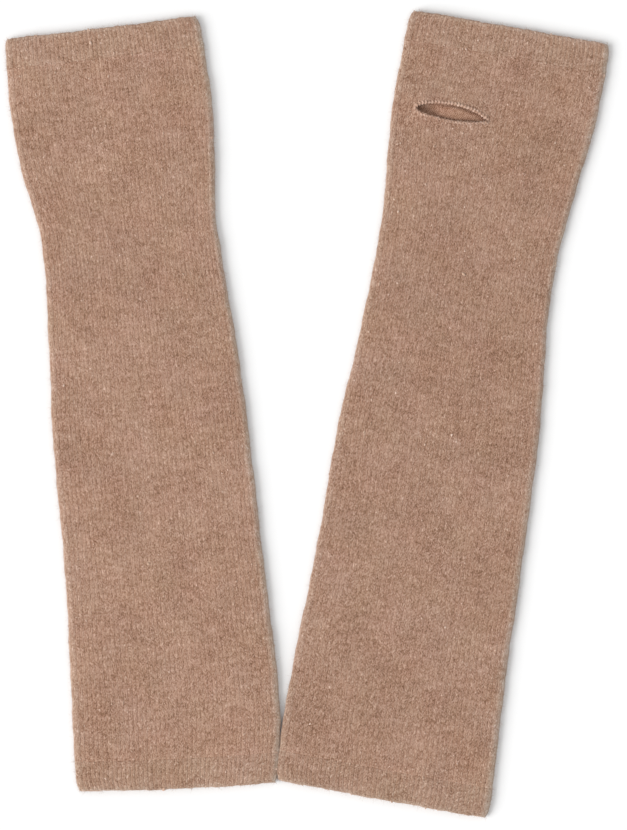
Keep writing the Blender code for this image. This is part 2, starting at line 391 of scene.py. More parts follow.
class FuzzSizes(bpy.types.PropertyGroup):
    """Neps and loose hairs."""

    neps: bpy.props.IntProperty(
        name="Neps", description="Neps on each warmer", default=800, min=0, max=1000
    )
    edge_hairs: bpy.props.IntProperty(
        name="Edge hairs",
        description="Loose hairs round each warmer's outline",
        default=2400,
        min=0,
        max=6000,
    )
    face_hairs: bpy.props.IntProperty(
        name="Face hairs",
        description="Loose hairs on each warmer's face",
        default=1400,
        min=0,
        max=6000,
    )
    hair_length: bpy.props.FloatProperty(
        name="Hair length",
        description="Length of a loose hair",
        default=1.3 * MM,
        unit="LENGTH",
        **LENGTH,
    )
    hair_thickness: bpy.props.FloatProperty(
        name="Hair thickness",
        description="Thickness of a loose hair at its root",
        default=0.07 * MM,
        unit="LENGTH",
        **LENGTH,
    )


class StudioSizes(bpy.types.PropertyGroup):
    """The floor, the light and the camera."""

    floor_colour: bpy.props.FloatVectorProperty(
        name="Floor",
        description="Colour of the pale floor",
        default=(0.86, 0.86, 0.86),
        subtype="COLOR",
        **COLOUR,
    )
    key_power: bpy.props.FloatProperty(
        name="Key light", description="Strength of the broad key light", default=3.16, min=0.0
    )
    sky_strength: bpy.props.FloatProperty(
        name="Sky", description="Strength of the even light from all round", default=0.745, min=0.0
    )
    camera_height: bpy.props.FloatProperty(
        name="Camera height", description="Height of the camera", default=2.4, min=0.5, unit="LENGTH"
    )


class ArmWarmers(bpy.types.PropertyGroup):
    """All the settings of the pair."""

    knit: bpy.props.PointerProperty(type=KnitSizes, name="Knit", description="The knitting")
    colours: bpy.props.PointerProperty(type=WoolColours, name="Colours", description="The wool")
    fuzz: bpy.props.PointerProperty(type=FuzzSizes, name="Fuzz", description="Neps and hairs")
    studio: bpy.props.PointerProperty(type=StudioSizes, name="Studio", description="The stage")


# Shape of a warmer


def smooth_curve(at, stations, values):
    """Cubic Hermite curve through the values, its slopes taken from the neighbouring stations."""
    slopes = np.gradient(values, stations)
    step = np.clip(np.searchsorted(stations, at, side="right") - 1, 0, len(stations) - 2)
    span = stations[step + 1] - stations[step]
    t = (at - stations[step]) / span
    start = values[step] * (1 + 2 * t) * (1 - t) ** 2 + slopes[step] * span * t * (1 - t) ** 2
    end = values[step + 1] * t**2 * (3 - 2 * t) + slopes[step + 1] * span * t**2 * (t - 1)
    return start + end


def fold_lines(warmer, along):
    """How far both folds lie from the tube's axis: the sections' curve, and small waves on it."""
    stations, *folds = np.array(warmer.sections).T * MM
    lines = []
    for side, values in enumerate(folds):
        line = smooth_curve(along, stations, values)
        for wave, (length, height) in enumerate(FOLD_WAVES):
            turn = 1.7 * warmer.seed + 2.1 * side + 0.9 * wave
            line = line + height * np.sin(2 * math.pi * along / length + turn)
        lines.append(line)
    return lines


def edge_drift(warmer, along, place):
    """How far down the tube a course drifts from its middle.

    That is slant * place / 2 - bow * place^2, and near the free ends a sum of sine waves as well,
    because cast-off stitches are never quite level.
    """
    share = along / warmer.length
    to_end = np.minimum(along, warmer.length - along)
    wobble = 0.0
    for wave, (turns, height) in enumerate(HEM_WAVES):
        turn = warmer.seed + 2.3 * wave + 5.0 * share
        wobble = wobble + height * np.sin(2 * math.pi * turns * place + turn)
    wobble = wobble * np.clip(1 - to_end / HEM_REACH, 0, 1) ** 2
    slant = warmer.hand_slant + (warmer.arm_slant - warmer.hand_slant) * share
    bow = warmer.hand_bow + (warmer.arm_bow - warmer.hand_bow) * share
    return (slant * place / 2 - bow * place**2) * MM + wobble


def swell_height(warmer, along, across):
    """Sum of the swells, each a bell over its middle, fading to nothing at the rib bands."""
    height = np.zeros(np.broadcast(along, across).shape)
    for swell in warmer.swells:
        down = (along / MM - swell.along) / swell.length
        sideways = (across / MM - swell.across) / swell.width
        height = height + swell.height * MM * np.exp(-(down**2) - sideways**2)
    hand_fade = np.clip((along - BAND_DEPTH) / SWELL_FADE, 0, 1)
    arm_fade = np.clip((warmer.length - BAND_DEPTH - along) / SWELL_FADE, 0, 1)
    return height * hand_fade * arm_fade


def slot_point(warmer, x):
    """How pointed the slot is at x, from -1 to 1 along it: blunt at the tip beside the fold."""
    return SLOT_POINTED * (1 - fade_in(x * np.sign(warmer.slot_across), 1.0))


def slot_pull(warmer, across, along, side):
    """How far a point moves along the tube where the slot is pulled open.

    The slot is a slit between two courses. Its lips part by depth * (1 - x^2)^((1 + point) / 2),
    where x runs from -1 to 1 along it, and the pull dies out as (1 - distance / reach)^2. side is
    -1 on the slit's hand side and 1 on its arm side.
    """
    x = (across - warmer.slot_across) / (SLOT_LENGTH / 2 + SLOT_RIM)
    depth = np.where(side < 0, SLOT_HANDWARD, SLOT_ARMWARD) + SLOT_RIM
    lip = depth * np.clip(1 - x**2, 0, 1) ** ((1 + slot_point(warmer, x)) / 2)
    distance = np.abs(along - warmer.slot_along)
    return side * lip * np.clip(1 - distance / PULL_REACH, 0, 1) ** 2


def course_place(warmer, course, courses):
    """How far along the tube a body course lies: even steps from the hand band to the slot's course,
    and even steps from there to the arm band."""
    stations = np.array([0.0, SLOT_COURSE, courses])
    places = np.array([BAND_DEPTH, warmer.slot_along, warmer.length - BAND_DEPTH])
    return np.interp(course, stations, places)


def layer_points(warmer, layer, along, reach, depth, side=None):
    """Points of one layer of the flattened tube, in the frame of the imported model.

    reach runs from 0 at the left fold to 1 at the right one, evenly round the section: a quarter
    ellipse, the flat face, and a quarter ellipse. depth is how far in from the outer face a point
    lies, and side says on which side of the slit it is, where the layer has the slot.
    """
    front = layer == "front"
    face = FRONT_FACE if front else 0.0
    left, right = fold_lines(warmer, along)
    middle = (left + right) / 2
    half = (right - left) / 2
    flat = 2 * (half - FOLD_REACH)
    total = flat + 2 * FOLD_ARC
    run = reach * total
    place = np.clip(-1 + 2 * (run - FOLD_ARC) / flat, -1, 1)
    turn = np.clip(np.minimum(run, total - run) / FOLD_ARC, 0, 1) * math.pi / 2
    sideways = np.where(reach < 0.5, -1.0, 1.0)
    across = middle + place * (half - FOLD_REACH) + sideways * (FOLD_REACH - depth) * np.cos(turn)
    rise = (face - FOLD_LEVEL) * (1 - depth / abs(face - FOLD_LEVEL))
    height = FOLD_LEVEL + rise * np.sin(turn)
    if front:
        height = height + swell_height(warmer, along, across) * (1 - place**4) * np.sin(turn)
        inset = (1 - np.abs(place)) * (half - FOLD_REACH)
        height = height - SHOULDER_DROP * np.exp(-inset / SHOULDER_REACH) * np.sin(turn)
    if side is not None:
        settle = np.exp(-(((across - warmer.slot_across) / SETTLE_REACH) ** 2))
        settle = settle * np.exp(-(((along - warmer.slot_along) / SETTLE_REACH) ** 2))
        across = across + slot_shift(warmer) * settle * (1 - place**4) * np.sin(turn)
        along = along + slot_pull(warmer, across, along, side)
    down = along + edge_drift(warmer, along, (across - middle) / half)
    return to_frame(warmer, across, down, height)


def to_frame(warmer, across, down, height):
    """Turns a warmer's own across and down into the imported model's frame."""
    x = warmer.place[0] + across * math.cos(warmer.lean) + down * math.sin(warmer.lean)
    y = warmer.place[1] + across * math.sin(warmer.lean) - down * math.cos(warmer.lean)
    return np.stack(np.broadcast_arrays(x, y, height), axis=-1)


def slot_wales(warmer, wales):
    """The first and the last wale line of the slot, counted from the left fold."""
    if warmer.slot_across < 0:
        return SLOT_SIDE_STITCHES, SLOT_SIDE_STITCHES + SLOT_STITCHES
    return wales - SLOT_SIDE_STITCHES - SLOT_STITCHES, wales - SLOT_SIDE_STITCHES


def slot_shift(warmer):
    """How far the wales move sideways so that the slot's stitches are centred on the slot."""
    wales = bpy.context.scene.arm_warmers.knit.wales
    left, right = fold_lines(warmer, np.array([warmer.slot_along]))
    total = right - left - 2 * FOLD_REACH + 2 * FOLD_ARC
    middle = sum(slot_wales(warmer, wales)) / 2 / wales
    return float((warmer.slot_across - (left + FOLD_REACH - FOLD_ARC + middle * total))[0])


# Stitches


def fade_in(distance, reach):
    """Smooth step from 0 at the line to 1 at reach."""
    t = np.clip(distance / reach, 0, 1)
    return t * t * (3 - 2 * t)


def jersey_relief(wale, leg_place, uneven):
    """Height of a jersey stitch from -1 in the furrow to 1 on the leg.

    Across a wale, two legs stand beside a shallow middle; along it, each leg swells once a course.
    """
    share = np.abs(2 * (wale % 1) - 1)
    legs = 1 - np.abs(2 * share - 1)
    middle = 0.45 * (1 - share)
    across = 2 * np.maximum(legs, middle) - 1
    swell = 0.30 * (legs + 0.2) * np.cos(2 * math.pi * (leg_place - 0.5))
    return (across + swell) * (1 + uneven)


def rib_relief(wale, leg_place, uneven):
    """Height of a rib from -1 in the furrow to 1 on its crown, with its stitches faintly on it."""
    share = 0.5 - 0.5 * np.cos(2 * math.pi * (wale % 1))
    crown = 2 * share**0.75 - 1
    dent = 0.22 * np.exp(-((((wale % 1) - 0.5) / 0.09) ** 2))
    swell = 0.16 * share * np.cos(2 * math.pi * (leg_place - 0.5))
    return (crown - dent + swell) * (1 + 1.3 * uneven)


def seam_relief(wale):
    """Height where rib and jersey meet: the same faint groove on both, deepest between two wales."""
    return -0.6 - 0.35 * np.cos(2 * math.pi * wale)


def purl_relief(warmer, wale, course, points):
    """Height of the purl side seen through the slot: its bulge into the leaf, and its bumps.

    The bulge is (1 - x^2) * (1 - y^6), where x and y run from -1 to 1 across the leaf, and it
    leaves a hollow at the left tip. The bumps are cos(2 pi wale) * cos(2 pi course), and die out a
    few courses from the slot.
    """
    down_x, down_y = math.sin(warmer.lean), -math.cos(warmer.lean)
    from_x = points[..., 0] - warmer.place[0]
    from_y = points[..., 1] - warmer.place[1]
    along = from_x * down_x + from_y * down_y - warmer.slot_along
    across = -from_x * down_y + from_y * down_x - warmer.slot_across
    x = np.clip(np.abs(2 * across / SLOT_LENGTH), 0, 1)
    lip = np.where(along < 0, SLOT_HANDWARD, SLOT_ARMWARD) * (1 - x**2) + 0.1 * MM
    y = np.clip(np.abs(along) / lip, 0, 1)
    near = 1 - fade_in(np.abs(course - SLOT_COURSE) - PURL_COURSES + 2, 2.0)
    bumps = np.cos(2 * math.pi * wale) * np.cos(2 * math.pi * course)
    rise = fade_in(across + SLOT_LENGTH / 3, SLOT_LENGTH / 4)
    bulge = PURL_BULGE * (1 - y**6) * (rise * (1 - x**2) - 0.7 * (1 - rise))
    return bulge + PURL_RELIEF / 2 * bumps * near


def smooth_noise(rng, shape, steps):
    """Random values on a coarse grid, drawn out over the fine one by blending between its points."""
    coarse = rng.standard_normal((shape[0] // steps[0] + 3, shape[1] // steps[1] + 3))
    rows = np.arange(shape[0]) / steps[0]
    columns = np.arange(shape[1]) / steps[1]
    row = rows.astype(int)[:, None]
    column = columns.astype(int)[None, :]
    down = fade_in(rows % 1, 1.0)[:, None]
    over = fade_in(columns % 1, 1.0)[None, :]
    top = coarse[row, column] * (1 - over) + coarse[row, column + 1] * over
    bottom = coarse[row + 1, column] * (1 - over) + coarse[row + 1, column + 1] * over
    return top * (1 - down) + bottom * down


def outer_normals(points, turned):
    """Unit normals of a grid of points, from the cross product of its two directions."""
    down = np.gradient(points, axis=0)
    over = np.gradient(points, axis=1)
    normal = np.cross(down, over)
    if turned:
        normal = -normal
    return normal / np.linalg.norm(normal, axis=-1, keepdims=True)


# Meshes


def lattice_quads(ids, turned):
    """The four corners of every cell of a grid of vertex numbers."""
    quads = np.stack([ids[:-1, :-1], ids[1:, :-1], ids[1:, 1:], ids[:-1, 1:]], axis=-1)
    quads = quads.reshape(-1, 4)
    return quads[:, ::-1] if turned else quads


def closed_round(ids):
    """A grid of vertex numbers with its first column once more at its end."""
    return np.concatenate([ids, ids[:, :1]], axis=1)


def zip_strip(fine, coarse, places, turned):
    """Triangles between a fine line of vertices and a coarse one.

    places says beside which fine vertex each coarse one lies. Every fine edge goes to the nearer
    coarse vertex, and every coarse edge to the fine vertex halfway along it.
    """
    edge = np.arange(len(fine) - 1)
    halfway = (places[1:] + places[:-1]) // 2
    nearest = np.searchsorted(halfway, edge, side="right")
    along_fine = np.stack([fine[edge + 1], fine[edge], coarse[nearest]], axis=-1)
    along_coarse = np.stack([coarse[:-1], coarse[1:], fine[halfway]], axis=-1)
    triangles = np.concatenate([along_fine, along_coarse])
    return triangles[:, ::-1] if turned else triangles


def fill_mesh(name, points, face_sets, stitch):
    """A mesh from its points and its sets of faces, each with its corners, material and shading."""
    faces, materials, smooth = zip(*face_sets)
    counts = [len(corners) for corners in faces]
    loops = np.concatenate([corners.reshape(-1) for corners in faces])
    sizes = np.repeat([corners.shape[1] for corners in faces], counts)
    starts = np.concatenate([[0], np.cumsum(sizes)[:-1]])
    mesh = bpy.data.meshes.new(name)
    mesh.vertices.add(len(points))
    mesh.vertices.foreach_set("co", np.asarray(points, np.float32).reshape(-1))
    mesh.loops.add(len(loops))
    mesh.loops.foreach_set("vertex_index", loops.astype(np.int32))
    mesh.polygons.add(len(sizes))
    mesh.polygons.foreach_set("loop_start", starts.astype(np.int32))
    mesh.polygons.foreach_set("material_index", np.repeat(materials, counts).astype(np.int32))
    mesh.update(calc_edges=True)
    mesh.polygons.foreach_set("use_smooth", np.repeat(smooth, counts).astype(bool))
    layer = mesh.uv_layers.new(name="stitches")
    layer.data.foreach_set("uv", np.asarray(stitch, np.float32)[loops].reshape(-1))
    return mesh


def open_slit(ids, quads, slit, count, turned):
    """Parts a grid's cells along a slit, given as its row, first and last column.

    The cells below it get new vertices, numbered from count. Gives that lip's numbers and the cells.
    """
    row, first, last = slit
    lip = ids[row].copy()
    lip[first + 1 : last] = count + np.arange(last - first - 1)
    cells = quads.reshape(-1, ids.shape[1] - 1, 4).copy()
    near, far = (3, 0) if turned else (0, 3)
    cells[row, :, near] = lip[:-1]
    cells[row, :, far] = lip[1:]
    return lip, cells.reshape(-1, 4)


def knitted_wall(name, outer, inner, rows, columns, stitch, turned, slit=None):
    """A closed wall: a fine outer grid, a coarse inner one, and triangles round its edges.

    rows and columns say which lines of the fine grid the coarse one follows. slit is the row, the
    first and the last column of a slit, and the outer and inner points of its arm-side lip.
    """
    coarse_stitch = stitch[np.ix_(rows, columns)]
    points = [outer.reshape(-1, 3), inner.reshape(-1, 3)]
    stitches = [stitch.reshape(-1, 2), coarse_stitch.reshape(-1, 2)]
    outer_ids = np.arange(outer.size // 3).reshape(outer.shape[:2])
    inner_ids = outer_ids.size + np.arange(inner.size // 3).reshape(inner.shape[:2])
    outer_quads = lattice_quads(outer_ids, turned)
    inner_quads = lattice_quads(inner_ids, not turned)
    strips = [
        zip_strip(outer_ids[:, 0], inner_ids[:, 0], rows, turned),
        zip_strip(outer_ids[-1], inner_ids[-1], columns, turned),
        zip_strip(outer_ids[:, -1], inner_ids[:, -1], rows, not turned),
        zip_strip(outer_ids[0], inner_ids[0], columns, not turned),
    ]
    if slit:
        row, first, last, outer_lip, inner_lip = slit
        coarse_row = int(np.searchsorted(rows, row))
        start, end = (int(np.searchsorted(columns, column)) for column in (first, last))
        count = outer_ids.size + inner_ids.size
        place = (row, first, last)
        new_outer, outer_quads = open_slit(outer_ids, outer_quads, place, count, turned)
        count += last - first - 1
        place = (coarse_row, start, end)
        new_inner, inner_quads = open_slit(inner_ids, inner_quads, place, count, not turned)
        fine = slice(first, last + 1)
        coarse = slice(start, end + 1)
        places = columns[coarse] - first
        strips.append(zip_strip(outer_ids[row][fine], inner_ids[coarse_row][coarse], places, turned))
        strips.append(zip_strip(new_outer[fine], new_inner[coarse], places, not turned))
        points += [outer_lip[first + 1 : last], inner_lip[start + 1 : end]]
        stitches += [stitch[row, first + 1 : last], coarse_stitch[coarse_row, start + 1 : end]]
    sets = [(np.concatenate(strips), 0, False), (inner_quads, 1, True), (outer_quads, 0, True)]
    return fill_mesh(name, np.concatenate(points), sets, np.concatenate(stitches))


def add_piece(name, mesh, materials, slot, *nodes):
    """Puts a finished mesh into the scene, riding on the one body, in the place of its nodes."""
    piece = bpy.data.objects.new(name, mesh)
    for material in materials:
        mesh.materials.append(material)
    bpy.context.scene.collection.objects.link(piece)
    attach(piece, "root")
    if nodes:
        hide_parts(*nodes)


def add_rims(lines):
    """Grid lines with one more just inside the first and the last.

    The corner round a wall's outer face is then shaded on a sliver too thin to see.
    """
    inside = [lines[:1] + RIM_LINE, lines[1:-1], lines[-1:] - RIM_LINE]
    return np.concatenate([lines[:1], *inside, lines[-1:]])


def coarse_lines(count, step, extra=None):
    """Every step-th line of a fine grid with rims, its outer lines, and one more where needed."""
    lines = {0, count - 1} | set(range(1 + step, count - 2, step))
    if extra is not None:
        lines = {line for line in lines if line in (0, count - 1) or abs(line - extra) > 2}
        lines.add(extra)
    return np.array(sorted(lines))


def body_piece(warmer, layer):
    """One layer of the jersey body, knitted as a grid of stitches.

    The grid has 4 lines to a wale on the front and 2 on the back, and 2 to a course. Its rows
    climb along the stitches' legs, and the outer points move out by the stitches' relief.
    """
    knit = bpy.context.scene.arm_warmers.knit
    front = layer == "front"
    per_wale = 4 if front else 2
    wale = add_rims(np.arange(knit.wales * per_wale + 1) / per_wale)
    course = add_rims(np.arange(2 * knit.courses + 1) / 2)
    has_slot = warmer.slot_layer == layer
    first, last = (side * per_wale + 1 for side in slot_wales(warmer, knit.wales))
    row = 2 * SLOT_COURSE + 1
    wales, courses = np.meshgrid(wale, course)

    to_band = np.minimum(courses, knit.courses - courses)
    calm = fade_in(to_band, 3.0)
    near_slot = np.zeros_like(calm)
    if has_slot:
        beside = np.maximum(wale[first] - wales, wales - wale[last])
        near_slot = (1 - fade_in(beside, 1.0)) * (1 - fade_in(np.abs(courses - SLOT_COURSE), 3.0))
    share = np.abs(2 * (wales % 1) - 1)
    climb = knit.leg_rise * (0.5 - share) * calm * (1 - near_slot)
    along = course_place(warmer, courses + climb, knit.courses)
    reach = wales / knit.wales
    side = np.where(courses <= SLOT_COURSE, -1.0, 1.0) if has_slot else None
    base = layer_points(warmer, layer, along, reach, 0.0, side)

    rng = np.random.default_rng(warmer.seed + (0 if front else 5))
    uneven = knit.unevenness * smooth_noise(rng, wales.shape, (2, per_wale // 2))
    relief = jersey_relief(wales, courses, uneven)
    thick = 0.35 * smooth_noise(rng, wales.shape, (5, 2 * per_wale))
    thick = thick + 0.30 * smooth_noise(rng, wales.shape, (14, 5 * per_wale))
    edge = 1 - fade_in(to_band, SEAM_REACH)
    half_relief = knit.stitch_relief / 2
    lift = half_relief * ((relief + thick) * (1 - edge) + seam_relief(wales) * edge)
    if not front:
        lift = np.minimum(UNDERSIDE_SHARE * (lift - half_relief), 0)
    to_fold = np.minimum(reach, 1 - reach) * knit.wales
    lift = lift * fade_in(to_fold, 0.5)
    outer = base + outer_normals(base, not front) * lift[..., None]
    jitter = rng.standard_normal(outer.shape[:2] + (2,)) * STITCH_JITTER
    outer[..., :2] += jitter * (fade_in(to_fold, 1.0) * calm * (1 - near_slot))[..., None]

    rows = coarse_lines(len(course), 12, row if has_slot else None)
    columns = coarse_lines(len(wale), per_wale)
    shows_purl = not front and not has_slot
    if shows_purl:
        rows = np.union1d(rows, np.arange(row - 2 * PURL_COURSES, row + 2 * PURL_COURSES + 1))
        columns = np.union1d(columns, np.arange(first, last + 1, per_wale // 2))
    coarse = np.ix_(rows, columns)
    straight = course_place(warmer, courses, knit.courses)[coarse]
    coarse_side = side[coarse] if has_slot else None
    inner = layer_points(warmer, layer, straight, reach[coarse], WALL, coarse_side)
    if shows_purl:
        inner[..., 2] += purl_relief(warmer, wales[coarse], courses[coarse], inner)
    slit = None
    if has_slot:
        lip = course_place(warmer, courses[row], knit.courses)
        arm_side = np.ones_like(lip)
        outer_lip = layer_points(warmer, layer, lip, reach[row], 0.0, arm_side)
        outer_lip[:, 2] = outer[row, :, 2]
        inner_lip = layer_points(warmer, layer, lip, reach[row], WALL, arm_side)[columns]
        slit = (row, first, last, outer_lip, inner_lip)
    stitch = np.stack([wales, courses], axis=-1)
    name = f"{warmer.name}_jersey_{layer}"
    mesh = knitted_wall(name, outer, inner, rows, columns, stitch, not front, slit)
    materials = [wool_material("jersey", warmer), wool_material("inside", warmer)]
    add_piece(name, mesh, materials, "jersey", f"{warmer.name}_body_{layer}")


def band_piece(warmer, end, layer):
    """One layer of a rib band: ribs that carry on the wales, with a thin rounded free edge."""
    knit = bpy.context.scene.arm_warmers.knit
    front = layer == "front"
    at_hand = end == "hand"
    per_wale = 8 if front else 4
    wale = add_rims(np.arange(knit.wales * per_wale + 1) / per_wale)
    course = add_rims(np.arange(2 * knit.band_courses + 1) / 2)
    course = np.concatenate([LIP_COURSES, course[2:]])
    wales, courses = np.meshgrid(wale, course)
    reach = wales / knit.wales
    pitch = BAND_DEPTH / knit.band_courses
    share = np.abs(2 * (wales % 1) - 1)
    to_edge = np.minimum(courses, knit.band_courses - courses)
    climb = knit.leg_rise * (0.5 - share) * fade_in(to_edge - LIP_COURSES[-1], 2.5)
    from_edge = (courses + climb) * pitch
    along = from_edge if at_hand else warmer.length - from_edge
    base = layer_points(warmer, layer, along, reach, 0.0)

    rng = np.random.default_rng(warmer.seed + (60 if at_hand else 70) + (0 if front else 5))
    uneven = knit.unevenness * smooth_noise(rng, wales.shape, (2, per_wale))
    seam = 1 - fade_in(knit.band_courses - courses, SEAM_REACH)
    lip = (1 - np.clip(courses / 0.55, 0, 1)) ** 2
    half_relief = knit.stitch_relief / 2
    lift = knit.rib_height * (0.5 * rib_relief(wales, courses, uneven) + 0.10)
    lift = lift * (1 - seam) + half_relief * seam_relief(wales) * seam
    lift = lift * (1 - 0.7 * lip) - LIP_DROP * lip
    if not front:
        crown = 0.6 * knit.rib_height * (1 - seam) + half_relief * seam
        lift = np.minimum(UNDERSIDE_SHARE * (lift - crown), 0)
    to_fold = np.minimum(reach, 1 - reach) * knit.wales
    turned = front != at_hand
    outer = base + outer_normals(base, turned) * (lift * fade_in(to_fold, 0.5))[..., None]

    rows = np.array([0, len(course) // 2, len(course) - 1])
    columns = coarse_lines(len(wale), per_wale)
    coarse = np.ix_(rows, columns)
    straight = (courses * pitch)[coarse]
    place = courses - knit.band_courses
    if not at_hand:
        straight = warmer.length - straight
        place = knit.courses - place
    inner = layer_points(warmer, layer, straight, reach[coarse], WALL)
    stitch = np.stack([wales, place], axis=-1)
    name = f"{warmer.name}_{end}_band_{layer}"
    mesh = knitted_wall(name, outer, inner, rows, columns, stitch, turned)
    materials = [wool_material(f"{end} band", warmer), wool_material("inside", warmer)]
    add_piece(name, mesh, materials, "rib_band", f"{warmer.name}_{end}_rib_{layer}")


# Thumb slot's edging


def slot_path(warmer, offset, angle):
    """Points round the leaf-shaped slot, moved outwards by the offset.

    The leaf is x = length / 2 * cos a, y = depth * |sin a|^(1 + point), deeper on the hand side.
    """
    power = 1 + slot_point(warmer, np.cos(angle))
    bulge = np.sign(np.sin(angle)) * np.abs(np.sin(angle)) ** power
    depth = np.where(np.sin(angle) > 0, SLOT_HANDWARD, SLOT_ARMWARD)
    leaf = np.stack([SLOT_LENGTH / 2 * np.cos(angle), depth * bulge], axis=-1)
    tangent = np.roll(leaf, -1, axis=0) - np.roll(leaf, 1, axis=0)
    outwards = np.stack([tangent[:, 1], -tangent[:, 0]], axis=-1)
    outwards /= np.linalg.norm(outwards, axis=1, keepdims=True)
    return leaf + offset[:, None] * outwards


def edging_piece(warmer):
    """The cast-off chain round the slot: a closed ring of links.

    An oval section is carried round the slot. Its radius swells once a link, and the swell lags
    behind towards the chain's sides, so each link shows as a small V.
    """
    links, per_link, sides = 48, 8, 14
    steps = links * per_link
    fine = np.linspace(0, 2 * math.pi, 4001)
    path = slot_path(warmer, np.full(len(fine) - 1, EDGING_WIDTH / 2), fine[:-1])
    length = np.linalg.norm(np.diff(path, axis=0, append=path[:1]), axis=1)
    run = np.concatenate([[0], np.cumsum(length)])
    angle = np.interp(np.linspace(0, run[-1], steps, endpoint=False), run, fine)
    link = np.arange(steps)[:, None] / per_link
    around = np.linspace(0, 2 * math.pi, sides, endpoint=False)[None, :]
    swell = 0.5 + 0.5 * np.cos(2 * math.pi * (link - 0.55 * np.abs(np.cos(around))))
    rng = np.random.default_rng(warmer.seed + 90)
    size = 1 + 0.10 * np.repeat(rng.standard_normal(links), per_link)[:, None]
    groove = 1 - 0.16 * np.exp(-(((np.sin(around) - 1) / 0.12) ** 2))
    radius = (0.60 + 0.54 * swell) * size * groove
    offset = EDGING_WIDTH / 2 + (EDGING_WIDTH / 2 + EDGING_SPREAD) * radius * np.cos(around)
    front = warmer.slot_layer == "front"
    low = FRONT_INNER if front else 0.0
    top = low + WALL + (EDGING_RISE if front else 0.0)
    height = (low + top) / 2 + (top - low) / 2 * radius * np.sin(around)
    leaf = np.stack([slot_path(warmer, offset[:, side], angle) for side in range(sides)], axis=1)
    across = leaf[..., 0] + warmer.slot_across
    along = warmer.slot_along - leaf[..., 1]
    left, right = fold_lines(warmer, along)
    share = (across - (left + right) / 2) / ((right - left) / 2)
    if front:
        height = height + swell_height(warmer, along, across) * (1 - share**4)
        height = height + EDGING_TILT * np.clip(-np.sin(angle), 0, None)[:, None]
    height = np.maximum(height, 0.0)
    points = to_frame(warmer, across, along + edge_drift(warmer, along, share), height)
    ids = np.arange(steps * sides).reshape(steps, sides)
    quads = lattice_quads(closed_round(np.concatenate([ids, ids[:1]])), True)
    stitch = np.stack(np.broadcast_arrays(around / math.pi, link), axis=-1).reshape(-1, 2)
    name = f"{warmer.name}_slot_chain"
    mesh = fill_mesh(name, points.reshape(-1, 3), [(quads, 0, True)], stitch)
    materials = [wool_material("edging", warmer)]
    add_piece(name, mesh, materials, "cast_off_edging", f"{warmer.name}_thumb_slot_edging")


# Neps and hairs


def surface_of(names):
    """Points and normals of all the vertices of finished pieces, as two arrays."""
    points = []
    normals = []
    for name in names:
        mesh = bpy.data.objects[name].data
        place = np.empty(len(mesh.vertices) * 3, np.float32)
        mesh.vertices.foreach_get("co", place)
        normal = np.empty(len(mesh.vertices) * 3, np.float32)
        mesh.vertices.foreach_get("normal", normal)
        points.append(place.reshape(-1, 3).astype(float))
        normals.append(normal.reshape(-1, 3).astype(float))
    return np.concatenate(points), np.concatenate(normals)


def scatter_piece(name, copies, faces, rng, material):
    """One piece out of many copies: their points as rows, and the sets of faces of one of them."""
    count, each = copies.shape[:2]
    first = np.arange(count)[:, None, None] * each
    sets = [((one[None] + first).reshape(-1, one.shape[1]), 0, True) for one in faces]
    stitch = np.repeat(rng.random((count, 2)) * 40, each, axis=0)
    mesh = fill_mesh(name, copies.reshape(-1, 3), sets, stitch)
    add_piece(name, mesh, [material], "jersey")


def neps_piece(warmer):
    """Neps: small lumpy knots of undyed wool caught in the stitches.

    Each is a ball of 5 rings of 6 points, closed by a point at either pole, stretched along the
    wales and sunk halfway into the cloth.
    """
    fuzz = bpy.context.scene.arm_warmers.fuzz
    parts = ("jersey", "hand_band", "arm_band")
    points, normals = surface_of([f"{warmer.name}_{part}_front" for part in parts])
    rng = np.random.default_rng(warmer.seed + 200)
    picked = rng.choice(np.flatnonzero(normals[:, 2] > 0.35), fuzz.neps, replace=False)
    size = rng.lognormal(math.log(NEP_RADIUS), 0.3, fuzz.neps)
    stretch = rng.uniform(0.8, 1.9, fuzz.neps)
    tilt = (warmer.lean + rng.normal(0, 0.5, fuzz.neps))[:, None]
    rings, sides = 5, 6
    ring = np.linspace(0, math.pi, rings + 2)[1:-1, None]
    spoke = np.linspace(0, 2 * math.pi, sides, endpoint=False)
    ball = [np.sin(ring) * np.cos(spoke), np.sin(ring) * np.sin(spoke), np.cos(ring) + 0 * spoke]
    ball = np.concatenate([np.stack(ball, axis=-1).reshape(-1, 3), [[0, 0, 1], [0, 0, -1]]])
    shape = ball[None] * (1 + 0.18 * rng.standard_normal((fuzz.neps, len(ball), 1)))
    shape = shape * size[:, None, None]
    over = shape[..., 0]
    down = shape[..., 1] * stretch[:, None]
    x = over * np.cos(tilt) - down * np.sin(tilt)
    y = over * np.sin(tilt) + down * np.cos(tilt)
    placed = np.stack([x, y, 0.75 * shape[..., 2]], axis=-1)
    placed += (points[picked] + normals[picked] * 0.05 * MM)[:, None]
    ids = closed_round(np.arange(rings * sides).reshape(rings, sides))
    pole = np.full(sides, rings * sides)
    top = np.stack([pole, ids[0, :-1], ids[0, 1:]], axis=-1)
    bottom = np.stack([pole + 1, ids[-1, 1:], ids[-1, :-1]], axis=-1)
    faces = [lattice_quads(ids, False), np.concatenate([top, bottom])]
    scatter_piece(f"{warmer.name}_neps", placed, faces, rng, wool_material("nep"))


